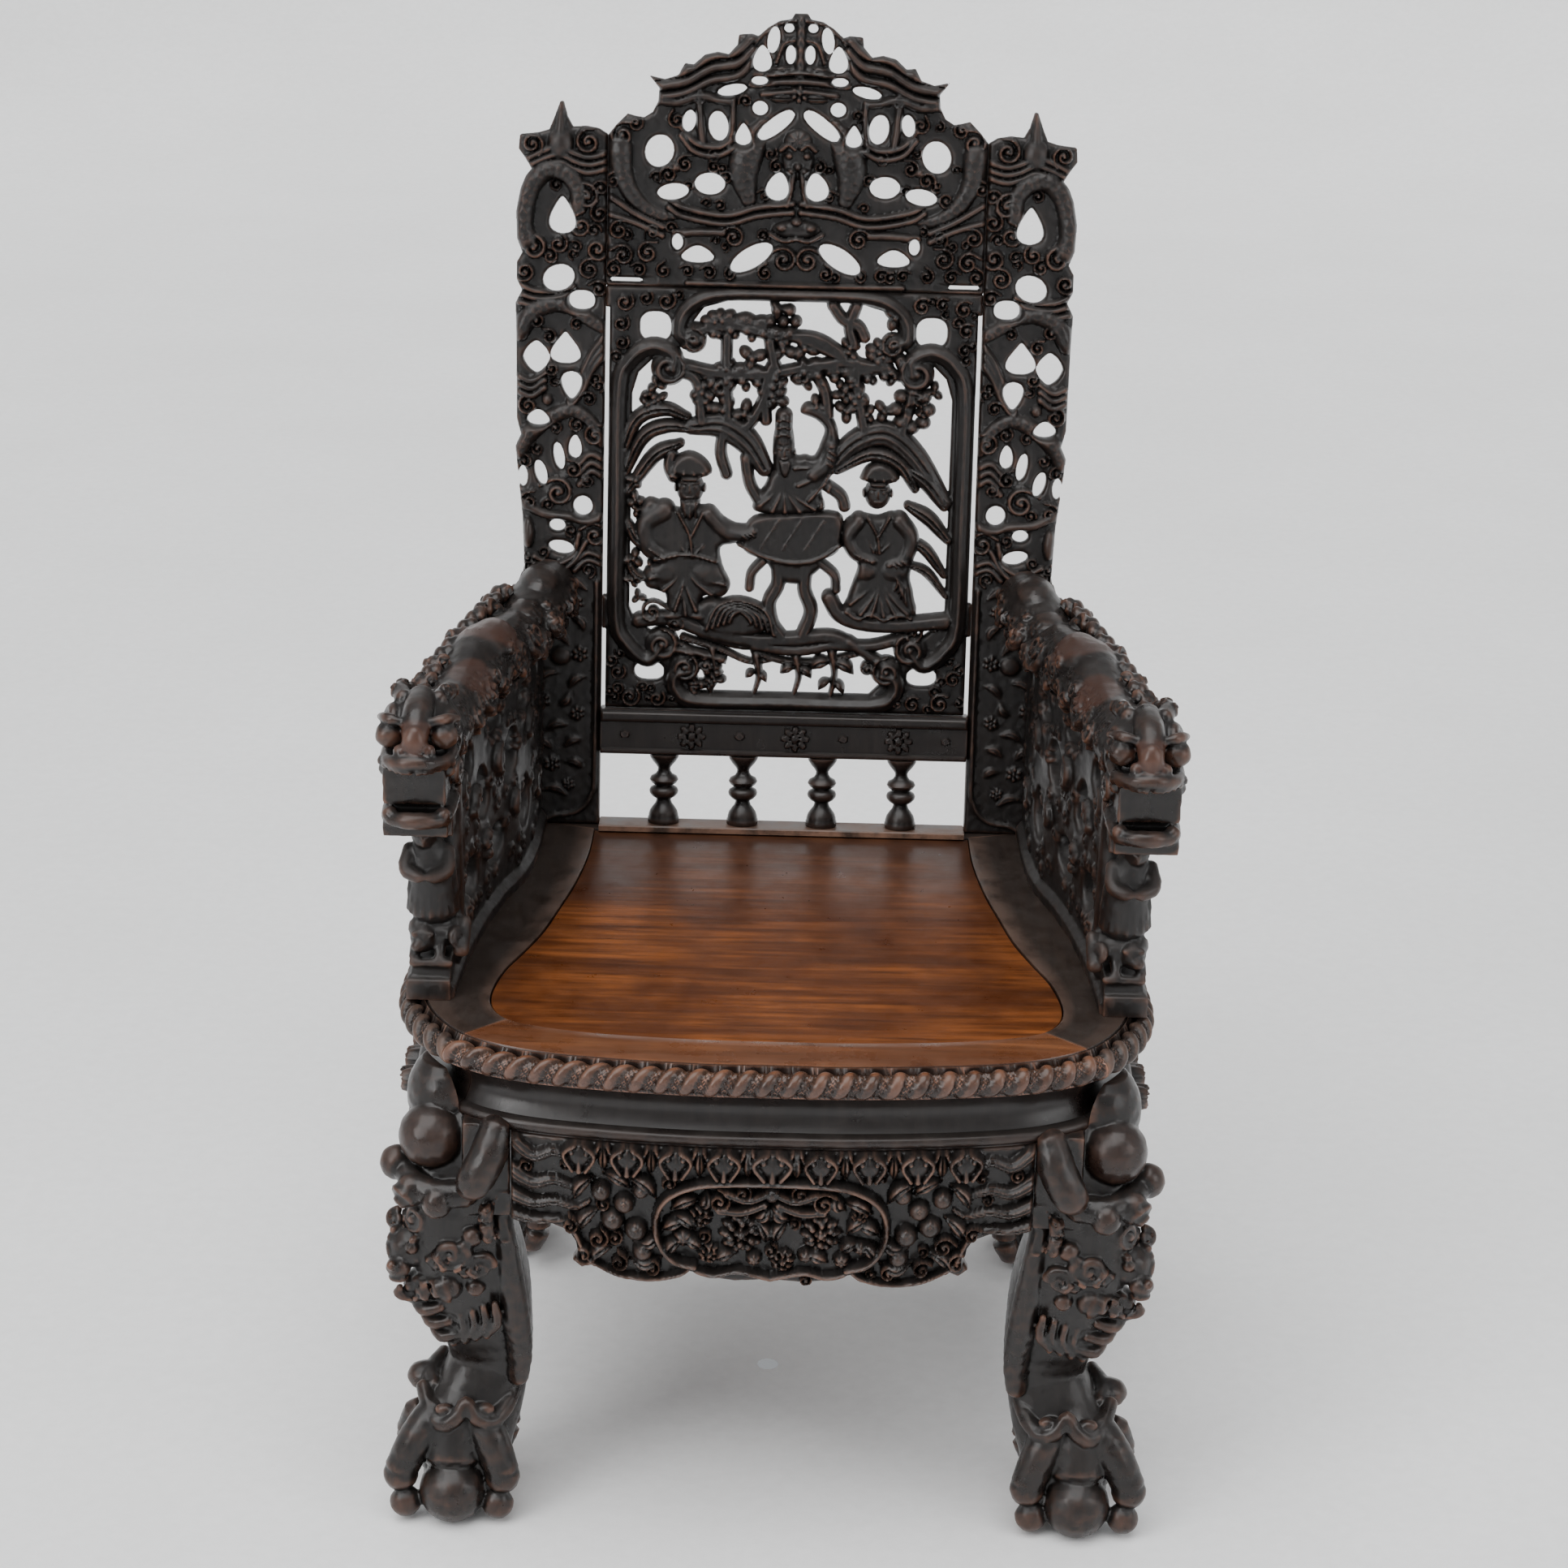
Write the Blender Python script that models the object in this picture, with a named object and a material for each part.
"""Carved hardwood throne armchair with dragon arms, a pierced back and claw-and-ball feet.

Metres, +Z up, the front faces -Y, origin on the floor under the middle of the chair.
Carved boards are drawn on flat sheets in drawing units of one millimetre at the nominal size,
and each sheet is then laid on its place, so a changed seat, back or arm takes its carving along.
"""
import math

import bmesh
import bpy
import numpy as np
from mathutils import Matrix, Vector

for old in list(bpy.data.objects):
    bpy.data.objects.remove(old, do_unlink=True)

# Driving sizes
GAP = 0.0003
SEAT_HEIGHT = 0.460
SEAT_WIDTH = 0.655
SEAT_DEPTH = 0.576
SEAT_FRONT = 0.3305
SEAT_THICK = 0.024
ROPE_WIDTH = 0.022
LEDGE_WIDTH = 0.008
LEDGE_THICK = 0.0045
PANEL_CLEARANCE = 0.0010
PANEL_DROP = 0.0015
WAIST_HEIGHT = 0.051
WAIST_DEPTH = 0.036
WAIST_INSET = 0.020
APRON_INSET = 0.014
KNEE_CLEARANCE = 0.0003
BACK_INSET = 0.023
BACK_RAKE = math.radians(7.0)
BACK_WIDTH = 0.520
BACK_RISE = 0.770
BOARD_REAR = 0.014
BOARD_FACE = 0.004
SUPPORT_THICK = 0.024

# Drawing sizes of the back, in units of one millimetre at the nominal width and rise
SHEET_WIDTH = 520.0
SHEET_RISE = 770.0
JOINT_X = 175.7
CREST_FOOT = 518.6
PANEL_FOOT = 116.3
RAIL_FOOT = 72.3
SHOE_TOP = 4.0
SLIT_EDGE = 171.8
APRON_UNITS = 221.4

WOOD = ("dark_wood", (0.020, 0.014, 0.012), 0.42)
SEAT_WOOD = ("seat_wood", (0.230, 0.085, 0.030), 0.30)

FLOOR_BOX_DEPTH = 0.3
SEAT_TOP = SEAT_HEIGHT
SEAT_UNDER = SEAT_HEIGHT - SEAT_THICK
WAIST_TOP = SEAT_UNDER - GAP
WAIST_FOOT = WAIST_TOP - WAIST_HEIGHT
KNEE_TOP = WAIST_FOOT - GAP
BACK_Y = SEAT_DEPTH - BACK_INSET - SEAT_FRONT
LEG_SCALE = KNEE_TOP / 0.3844


def smooth_curve(points, steps=6, closed=False):
    """Catmull-Rom curve through the points."""
    pts = np.asarray(points, float)
    count = len(pts)
    spans = count if closed else count - 1
    out = []
    for i in range(spans):
        a, b = pts[i], pts[(i + 1) % count]
        before = pts[(i - 1) % count] if closed or i > 0 else 2 * a - b
        after = pts[(i + 2) % count] if closed or i + 2 < count else 2 * b - a
        for t in np.arange(steps) / steps:
            out.append(0.5 * (2 * a + (b - before) * t + (2 * before - 5 * a + 4 * b - after) * t * t
                              + (3 * a - before - 3 * b + after) * t ** 3))
    if not closed:
        out.append(pts[-1])
    return np.array(out)


def resample(curve, count):
    """The curve as a number of points at equal distances."""
    steps = np.linalg.norm(np.diff(curve, axis=0), axis=1)
    along = np.concatenate([[0.0], np.cumsum(steps)])
    wanted = np.linspace(0.0, along[-1], count)
    return np.stack([np.interp(wanted, along, curve[:, k]) for k in range(curve.shape[1])], axis=1)


def material_of(name, colour, roughness):
    """One Principled material per wood."""
    if name in bpy.data.materials:
        return bpy.data.materials[name]
    made = bpy.data.materials.new(name)
    made.use_nodes = True
    shader = made.node_tree.nodes["Principled BSDF"]
    shader.inputs["Base Color"].default_value = (*colour, 1.0)
    shader.inputs["Roughness"].default_value = roughness
    shader.inputs["Metallic"].default_value = 0.0
    return made


def add_object(name, mesh, wood=WOOD):
    """A named sub-part with its own material and smooth shading."""
    piece = bpy.data.objects.new(name, mesh)
    bpy.context.collection.objects.link(piece)
    own = material_of(*wood).copy()
    own.name = f"{name}_{wood[0]}"
    mesh.materials.clear()
    mesh.materials.append(own)
    mesh.shade_smooth()
    mesh.set_sharp_from_angle(angle=math.radians(35.0))
    return piece


def mesh_of(name, points, faces):
    made = bpy.data.meshes.new(name)
    made.from_pydata([tuple(p) for p in points], [], [tuple(f) for f in faces])
    made.update()
    return made


def evaluated(piece):
    """The mesh of an object with its modifiers applied."""
    graph = bpy.context.evaluated_depsgraph_get()
    return bpy.data.meshes.new_from_object(piece.evaluated_get(graph)).copy()


def apply_all(piece):
    """Applies the modifiers of an object."""
    fresh = evaluated(piece)
    piece.modifiers.clear()
    piece.data = fresh
    return piece


def biggest_body(mesh):
    """Keeps the body with the largest box of a mesh, and drops crumbs and sealed voids."""
    work = bmesh.new()
    work.from_mesh(mesh)
    bmesh.ops.triangulate(work, faces=work.faces[:])
    left = set(work.faces)
    bodies = []
    while left:
        first = left.pop()
        body = [first]
        for face in body:
            for edge in face.edges:
                for other in edge.link_faces:
                    if other in left:
                        left.discard(other)
                        body.append(other)
        bodies.append(body)

    def span(body):
        points = np.array([v.co for face in body for v in face.verts])
        return float(np.prod(points.max(axis=0) - points.min(axis=0)))

    bodies.sort(key=span)
    for body in bodies[:-1]:
        bmesh.ops.delete(work, geom=body, context="FACES")
    loose = [v for v in work.verts if not v.link_faces]
    bmesh.ops.delete(work, geom=loose, context="VERTS")
    work.to_mesh(mesh)
    work.free()
    return mesh


def reduce_to(mesh, triangles):
    """Fewer triangles, where the form needs them least."""
    work = bmesh.new()
    work.from_mesh(mesh)
    bmesh.ops.triangulate(work, faces=work.faces[:])
    work.to_mesh(mesh)
    work.free()
    if len(mesh.polygons) <= triangles:
        return mesh
    carrier = bpy.data.objects.new("carrier", mesh)
    bpy.context.collection.objects.link(carrier)
    fewer = carrier.modifiers.new("fewer", "DECIMATE")
    fewer.ratio = triangles / len(mesh.polygons)
    out = evaluated(carrier)
    bpy.data.objects.remove(carrier, do_unlink=True)
    return out


def polygon_inside(x, y, outline):
    """Distance to a closed outline, positive inside it."""
    best = np.full(x.shape, 1e18)
    inside = np.zeros(x.shape, bool)
    count = len(outline)
    for i in range(count):
        ax, ay = outline[i]
        bx, by = outline[(i + 1) % count]
        ex, ey = bx - ax, by - ay
        span = ex * ex + ey * ey
        if span < 1e-12:
            continue
        t = np.clip(((x - ax) * ex + (y - ay) * ey) / span, 0.0, 1.0)
        best = np.minimum(best, (x - ax - t * ex) ** 2 + (y - ay - t * ey) ** 2)
        crosses = (ay > y) != (by > y)
        if ey != 0:
            inside ^= crosses & (x < ax + (y - ay) * ex / ey)
    return np.where(inside, np.sqrt(best), -np.sqrt(best))


class Sheet:
    """A carved board drawn over a grid: how far inside the wood, and the height of its relief."""

    def __init__(self, x_range, y_range, step):
        self.step = step
        self.xs = np.arange(x_range[0] - 2 * step, x_range[1] + 3 * step, step)
        self.ys = np.arange(y_range[0] - 2 * step, y_range[1] + 3 * step, step)
        self.x, self.y = np.meshgrid(self.xs, self.ys)
        self.inside = np.full(self.x.shape, -60.0)
        self.height = np.zeros(self.x.shape)

    def window(self, x_low, x_high, y_low, y_high):
        cols = np.searchsorted(self.xs, [x_low, x_high])
        rows = np.searchsorted(self.ys, [y_low, y_high])
        return slice(rows[0], rows[1]), slice(cols[0], cols[1])

    def add_outline(self, outline):
        self.inside = np.maximum(self.inside, polygon_inside(self.x, self.y, outline))

    def cut_outline(self, outline):
        self.inside = np.minimum(self.inside, -polygon_inside(self.x, self.y, outline))

    def oval_inside(self, part, cx, cy, width, height, turn=0.0, egg=0.0, power=2.0):
        """Inside distance of an oval; egg narrows its upper end, a low power makes it a rhomb."""
        c, s = math.cos(math.radians(turn)), math.sin(math.radians(turn))
        dx, dy = self.x[part] - cx, self.y[part] - cy
        u, v = c * dx + s * dy, -s * dx + c * dy
        a, b = width / 2, height / 2
        a_here = a * np.clip(1.0 - egg * v / b, 0.15, 2.0)
        r = (np.abs(u / a_here) ** power + np.abs(v / b) ** power) ** (1 / power)
        return (1.0 - r) * min(a, b)

    def cut_oval(self, cx, cy, width, height, turn=0.0, egg=0.0, power=2.0):
        reach = max(width, height)
        part = self.window(cx - reach, cx + reach, cy - reach, cy + reach)
        away = -self.oval_inside(part, cx, cy, width, height, turn, egg, power)
        self.inside[part] = np.minimum(self.inside[part], away)

    def dome(self, cx, cy, width, height, rise, turn=0.0, egg=0.0, solid=False, power=2.0):
        """A rounded swelling; a solid one is also wood where the sheet was open."""
        reach = max(width, height)
        part = self.window(cx - reach, cx + reach, cy - reach, cy + reach)
        d = self.oval_inside(part, cx, cy, width, height, turn, egg, power)
        f = np.clip(d / (min(width, height) / 2), 0.0, 1.0)
        z = rise * np.sqrt(1.0 - (1.0 - f) ** 2)
        self.height[part] = np.maximum(self.height[part], z)
        if solid:
            self.inside[part] = np.maximum(self.inside[part], d)

    def ridge(self, points, width, rise, taper=(1.0, 1.0), solid=False, steps=5, flat=False, groove=0.0):
        """A rounded ridge along a curve; width and rise shrink towards the ends by the tapers."""
        curve = smooth_curve(points, steps) if len(points) > 2 else np.asarray(points, float)
        reach = width / 2 * max(taper[0], taper[1], 1.0) + self.step * 2
        low, high = curve.min(axis=0) - reach, curve.max(axis=0) + reach
        part = self.window(low[0], high[0], low[1], high[1])
        gx, gy = self.x[part], self.y[part]
        best = np.full(gx.shape, 1e9)
        where = np.zeros(gx.shape)
        count = len(curve) - 1
        for i in range(count):
            ax, ay = curve[i]
            ex, ey = curve[i + 1] - curve[i]
            span = max(ex * ex + ey * ey, 1e-9)
            t = np.clip(((gx - ax) * ex + (gy - ay) * ey) / span, 0.0, 1.0)
            d = (gx - ax - t * ex) ** 2 + (gy - ay - t * ey) ** 2
            nearer = d < best
            best = np.where(nearer, d, best)
            where = np.where(nearer, (i + t) / count, where)
        best = np.sqrt(best)
        size = taper[0] + (taper[1] - taper[0]) * where
        middle = np.sin(np.pi * where) if taper[0] == taper[1] and taper[0] < 1.0 else 0.0
        size = size + (1.0 - size) * middle if taper[0] == taper[1] and taper[0] < 1.0 else size
        half = np.maximum(width / 2 * size, 1e-3)
        r = np.clip(best / half, 0.0, 1.0)
        form = np.clip(1.0 - r ** 4, 0.0, 1.0) if flat else np.sqrt(1.0 - r * r)
        z = rise * np.clip(size, 0.3, 1.0) * form
        if groove:
            z = z - groove * np.exp(-(best / (0.18 * half)) ** 2)
        self.height[part] = np.where(best < half, np.maximum(self.height[part], z), self.height[part])
        if solid:
            self.inside[part] = np.maximum(self.inside[part], half - best)

    def spiral(self, cx, cy, radius, rise, turns=1.3, start=0.0, hand=1, width=0.42, solid=False):
        """A scroll that winds in to its eye, with a tail that runs off at the start angle."""
        count = int(14 * turns) + 2
        t = np.linspace(0.0, 1.0, count)
        angle = math.radians(start) + hand * 2 * math.pi * turns * t
        r = radius * (1.0 - 0.78 * t)
        points = np.stack([cx + r * np.cos(angle), cy + r * np.sin(angle)], axis=1)
        self.ridge(points, radius * width, rise, taper=(1.0, 0.8), solid=solid, steps=1)
        self.dome(cx, cy, radius * 0.5, radius * 0.5, rise)

    def level(self, x_low, x_high, y_low, y_high):
        """Takes the relief off where another piece stands against the board."""
        self.height[self.window(x_low, x_high, y_low, y_high)] = 0.0

    def leaf(self, x0, y0, x1, y1, width, rise, bend=0.0, solid=False):
        """A pointed leaf from its stalk to its tip, with a vein."""
        mx, my = (x0 + x1) / 2, (y0 + y1) / 2
        px, py = -(y1 - y0) * bend, (x1 - x0) * bend
        self.ridge([(x0, y0), (mx + px, my + py), (x1, y1)], width, rise, taper=(0.15, 0.15), solid=solid,
                   groove=rise * 0.25)

    def rosette(self, cx, cy, radius, rise, petals=6, solid=False, turn=0.0):
        """A small open flower."""
        for k in range(petals):
            a = math.radians(turn) + 2 * math.pi * k / petals
            self.dome(cx + radius * 0.6 * math.cos(a), cy + radius * 0.6 * math.sin(a), radius * 0.8,
                      radius * 0.62, rise * 0.8, turn=math.degrees(a), solid=solid)
        self.dome(cx, cy, radius * 0.6, radius * 0.6, rise, solid=solid)


def sheet_mesh(sheet, face, rear, edge, rounding):
    """The closed mesh of a sheet in drawing units: the front with its relief, the rear, the walls."""
    s = sheet.inside.copy()
    small = 0.15 * sheet.step
    s = np.where(np.abs(s) < small, np.where(s > 0, small, -small), s)
    s[0, :] = s[-1, :] = -small
    s[:, 0] = s[:, -1] = -small
    f = np.clip(s / rounding, 0.0, 1.0)
    round_off = np.sqrt(1.0 - (1.0 - f) ** 2)
    front = edge + (face - edge + sheet.height) * round_off
    wood = s > 0
    rows, cols = s.shape
    corner = np.full(s.shape, -1)
    corner[wood] = np.arange(wood.sum())
    points = [np.stack([sheet.x[wood], sheet.y[wood], front[wood]], axis=1)]
    used = int(wood.sum())

    def crossings(a, b, xa, ya, xb, yb, used):
        cross = (a > 0) != (b > 0)
        ids = np.full(a.shape, -1)
        ids[cross] = used + np.arange(cross.sum())
        t = a[cross] / (a[cross] - b[cross])
        x = xa[cross] + (xb[cross] - xa[cross]) * t
        y = ya[cross] + (yb[cross] - ya[cross]) * t
        points.append(np.stack([x, y, np.full(x.shape, edge)], axis=1))
        return ids, used + int(cross.sum())

    flat_ids, used = crossings(s[:, :-1], s[:, 1:], sheet.x[:, :-1], sheet.y[:, :-1],
                               sheet.x[:, 1:], sheet.y[:, 1:], used)
    up_ids, used = crossings(s[:-1, :], s[1:, :], sheet.x[:-1, :], sheet.y[:-1, :],
                             sheet.x[1:, :], sheet.y[1:, :], used)
    table = {"a": corner[:-1, :-1], "b": corner[:-1, 1:], "c": corner[1:, 1:], "d": corner[1:, :-1],
             "0": flat_ids[:-1, :], "1": up_ids[:, 1:], "2": flat_ids[1:, :], "3": up_ids[:, :-1]}
    code = wood[:-1, :-1] * 1 + wood[:-1, 1:] * 2 + wood[1:, 1:] * 4 + wood[1:, :-1] * 8
    shapes = {1: ["a03"], 2: ["b10"], 3: ["ab13"], 4: ["c21"], 5: ["a03", "c21"], 6: ["bc20"],
              7: ["abc23"], 8: ["d32"], 9: ["a02d"], 10: ["b10", "d32"], 11: ["ab12d"],
              12: ["cd31"], 13: ["a01cd"], 14: ["bcd30"], 15: ["abcd"]}
    faces = []
    walls = []
    for value, polygons in shapes.items():
        cells = code == value
        if not cells.any():
            continue
        for polygon in polygons:
            ring = np.stack([table[key][cells] for key in polygon], axis=1)
            faces += ring.tolist()
            for k, key in enumerate(polygon):
                after = polygon[(k + 1) % len(polygon)]
                if key in "0123" and after in "0123":
                    walls += ring[:, [k, (k + 1) % len(polygon)]].tolist()
    top = np.concatenate(points)
    bottom = top.copy()
    bottom[:, 2] = rear
    count = len(top)
    back_faces = [[v + count for v in reversed(face)] for face in faces]
    sides = [[q, p, p + count, q + count] for p, q in walls]
    return mesh_of("sheet", np.concatenate([top, bottom]), faces + back_faces + sides)


def place_sheet(name, sheet, place, budget, face, rear, edge=1.0, rounding=4.0, limits=(), flats=()):
    """Carves the sheet, keeps its straight joints exact, and lays it on its place."""
    mesh = biggest_body(sheet_mesh(sheet, face, rear, edge, rounding))
    mesh = reduce_to(mesh, budget)
    count = len(mesh.vertices)
    co = np.empty(count * 3)
    mesh.vertices.foreach_get("co", co)
    co = co.reshape(-1, 3)
    co[:, 2] = np.where(co[:, 2] < rear + 1.0, rear, co[:, 2])
    for axis, sign, value in limits:
        near = sign * (co[:, axis] - value) > -0.6
        co[near, axis] = value
    for low_x, low_y, high_y in flats:
        flat = (co[:, 0] > low_x) & (co[:, 1] > low_y) & (co[:, 1] < high_y)
        co[flat, 2] = np.minimum(co[flat, 2], face)
    mesh.vertices.foreach_set("co", place(co).ravel())
    mesh.update()
    return add_object(name, mesh)


def back_point(drawing):
    """From the back's drawing (x, up the board, out of the face) to the room."""
    x = drawing[:, 0] * BACK_WIDTH / SHEET_WIDTH
    h = drawing[:, 1] * BACK_RISE / SHEET_RISE
    n = drawing[:, 2]
    foot = drawing[:, 1] <= 1e-6
    h = np.where(foot, (GAP - n * math.sin(BACK_RAKE)) / math.cos(BACK_RAKE), h)
    y = BACK_Y + h * math.sin(BACK_RAKE) - n * math.cos(BACK_RAKE)
    z = SEAT_TOP + h * math.cos(BACK_RAKE) + n * math.sin(BACK_RAKE)
    return np.stack([x, y, z], axis=1)


def back_place(co):
    """Lays a mesh drawn in millimetre units in x and up, and in the same units in depth."""
    return back_point(np.stack([co[:, 0], co[:, 1], co[:, 2] * 0.001], axis=1))


def closed_outline(half, mirror=True):
    """A closed outline from the right half, bottom to top."""
    right = list(half)
    left = [(-x, y) for x, y in reversed(half) if x > 1e-6]
    return np.array(right + left)


# Back boards
SHEET_STEP = 2.4
FACE = BOARD_FACE * 1000
REAR = -BOARD_REAR * 1000

WING_OUTER = [(262, 0), (262, 60), (262, 130), (261, 200), (250, 252), (252, 300), (257, 345), (259, 366),
              (254, 377), (258, 392), (259, 470), (260, 500), (254, 512), (259, 522), (259, 538), (254, 547),
              (259, 560), (260, 585), (256, 606), (251, 618), (246, 624), (252, 634), (258, 642), (257, 655)]
WING_TOP = [(240, 657), (230, 660), (222, 684), (216, 684), (209, 663), (196, 664), (184, 662), (176, 657)]
WING_HOLES = [(217, 582, 22, 34, 0, 0.55, 2), (220, 524, 30, 24, -25, 0, 2), (198, 504, 24, 18, 0, 0, 2.4),
              (240, 450, 25, 30, 0, 0, 1.5), (213, 459, 24, 30, 0, 0.7, 2), (207, 424, 18, 26, 180, 0.4, 2),
              (238, 393, 20, 15, 0, 0.3, 2), (252, 337, 9, 20, 0, 0, 2), (235, 341, 11, 24, -15, 0, 2),
              (218, 357, 10, 26, -10, 0, 2), (203, 366, 12, 22, 0, 0.2, 2), (195, 310, 18, 19, 0, 0, 2),
              (219, 291, 15, 12, 0, 0, 2), (215, 270, 24, 13, 10, 0, 2)]


ARM_CONTACT = [(170, -5, 316)]


def wing_sheet():
    """The right wing: clouds over a dragon's body and pine branches, flat where the arm meets it."""
    sheet = Sheet((JOINT_X, 262), (0, 688), SHEET_STEP)
    outline = [(JOINT_X, 0)] + WING_OUTER + WING_TOP[:-1] + [(JOINT_X, 657)]
    sheet.add_outline(outline)
    for hole in WING_HOLES:
        sheet.cut_oval(*hole)
    sheet.dome(219, 648, 20, 26, 9)
    sheet.ridge([(219, 655), (219, 683)], 14, 9, taper=(1.0, 0.25))
    sheet.ridge([(204, 604), (212, 622), (232, 627), (248, 606), (254, 578)], 21, 9, taper=(0.7, 1.0))
    for cx, cy, r, hand in [(241, 646, 11, 1), (193, 648, 12, -1), (194, 601, 15, 1), (195, 570, 14, -1),
                            (245, 556, 14, 1), (188, 540, 12, 1), (190, 372, 13, -1), (240, 520, 11, -1),
                            (192, 620, 9, -1), (184, 585, 9, 1)]:
        sheet.spiral(cx, cy, r, 7, hand=hand, start=60)
    sheet.ridge([(178, 462), (200, 486), (222, 492), (246, 476)], 15, 8)
    sheet.ridge([(180, 450), (196, 440), (214, 440), (232, 424), (254, 428)], 12, 7)
    sheet.ridge([(184, 430), (192, 408), (216, 404), (250, 382)], 14, 8)
    sheet.ridge([(206, 376), (224, 378), (244, 362), (252, 322), (238, 296), (206, 294)], 10, 7)
    sheet.ridge([(226, 478), (228, 455), (226, 432)], 9, 7)
    sheet.ridge([(184, 350), (186, 326), (200, 290), (234, 262)], 12, 8)
    for low_x, low_h, high_h in ARM_CONTACT:
        sheet.level(low_x, 270, low_h, high_h)
    return sheet


def flipped(mesh):
    """Turns the faces of a mirrored mesh out again."""
    work = bmesh.new()
    work.from_mesh(mesh)
    bmesh.ops.reverse_faces(work, faces=work.faces[:])
    work.to_mesh(mesh)
    work.free()
    return mesh


def mirrored(piece, name):
    """A second piece, the mirror image of the first in X."""
    mesh = piece.data.copy()
    mesh.transform(Matrix.Scale(-1.0, 4, (1.0, 0.0, 0.0)))
    return add_object(name, flipped(mesh), WOOD)


right_wing = place_sheet("back_wing_right", wing_sheet(), back_place, 640, FACE, REAR,
                         limits=[(0, -1, JOINT_X), (1, -1, 0.0)], flats=ARM_CONTACT)
mirrored(right_wing, "back_wing_left")

CREST_HALF = [(175.4, CREST_FOOT), (175.4, 657), (168, 666), (158, 676), (150, 674), (143, 673), (135, 678),
              (130, 688), (129, 700), (138, 711), (124, 708), (112, 712), (106, 723), (98, 722), (88, 731),
              (76, 734), (66, 732), (58, 741), (57, 750), (45, 751), (39, 749), (30, 757), (20, 763),
              (9, 765), (6, 770), (0, 770)]
CREST_HOLES = [(128, 643, 26, 30, 20, 0, 2), (115, 606, 29, 15, -8, 0, 2), (81, 614, 28, 20, 0, 0, 2),
               (18, 613, 20, 26, 10, 0.3, 2), (101, 671, 12, 20, 10, 0, 2), (74, 667, 18, 27, -8, 0, 2),
               (51, 660, 13, 20, 0, 0.5, 2), (62, 700, 27, 10, -12, 0, 2), (37, 709, 15, 8, 0, 0, 2),
               (35, 729, 16, 24, 0, 0.4, 2), (36, 684, 14, 13, 0, 0, 2), (21, 669, 40, 14, -38, 0, 2.4),
               (25, 746, 11, 24, 8, 0, 2), (11, 757, 9, 8, 0, 0, 2), (9, 733, 9, 17, 0, 0, 2),
               (110, 560, 10, 15, 0, 0, 2), (91, 549, 28, 16, 0, 0.4, 2), (41, 547, 44, 19, -32, 0, 2)]


def crest_sheet():
    """Two dragons over clouds and a mask, under a lotus with a thin arch."""
    sheet = Sheet((-176, 176), (CREST_FOOT, 771), SHEET_STEP)
    sheet.add_outline(closed_outline(CREST_HALF))
    for side in (1, -1):
        for x, y, w, h, turn, egg, power in CREST_HOLES:
            sheet.cut_oval(side * x, y, w, h, side * turn, egg, power)
        sheet.ridge([(side * 46, 648), (side * 52, 622), (side * 44, 597)], 26, 10, taper=(0.55, 0.55))
        sheet.ridge([(side * 158, 640), (side * 150, 612), (side * 128, 588)], 22, 9, taper=(1.0, 0.3))
        sheet.ridge([(side * 134, 690), (side * 106, 702), (side * 78, 722), (side * 50, 736)], 20, 9)
        sheet.ridge([(side * 122, 682), (side * 92, 690), (side * 66, 712), (side * 46, 722)], 9, 7)
        sheet.ridge([(side * 86, 690), (side * 88, 665), (side * 84, 642)], 8, 6)
        sheet.ridge([(side * 58, 690), (side * 60, 660), (side * 62, 640)], 8, 6)
        sheet.ridge([(side * 170, 560), (side * 140, 566), (side * 100, 585), (side * 60, 580)], 9, 6)
        for cx, cy, r, hand in [(160, 656, 13, 1), (160, 548, 12, 1), (134, 545, 11, -1), (164, 580, 11, -1),
                                (96, 584, 11, 1), (62, 576, 13, -1), (28, 590, 10, 1), (10, 542, 11, 1),
                                (78, 534, 8, 1), (112, 640, 10, -1), (150, 528, 8, 1), (20, 640, 9, -1)]:
            sheet.spiral(side * cx, cy, r, 7, hand=side * hand, start=90)
        sheet.rosette(side * 118, 628, 8, 6)
        sheet.leaf(side * 4, 700, side * 40, 722, 9, 6)
    sheet.dome(0, 612, 24, 30, 10)
    sheet.dome(0, 574, 34, 16, 9)
    sheet.dome(0, 703, 66, 14, 8, power=3)
    sheet.ridge([(0, 700), (0, 770)], 12, 7, taper=(1.0, 0.7))
    return sheet


place_sheet("back_crest", crest_sheet(), back_place, 980, FACE, REAR,
            limits=[(0, 1, 175.4), (0, -1, -175.4), (1, -1, CREST_FOOT)])

PANEL_TOP = CREST_FOOT - 0.3


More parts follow.
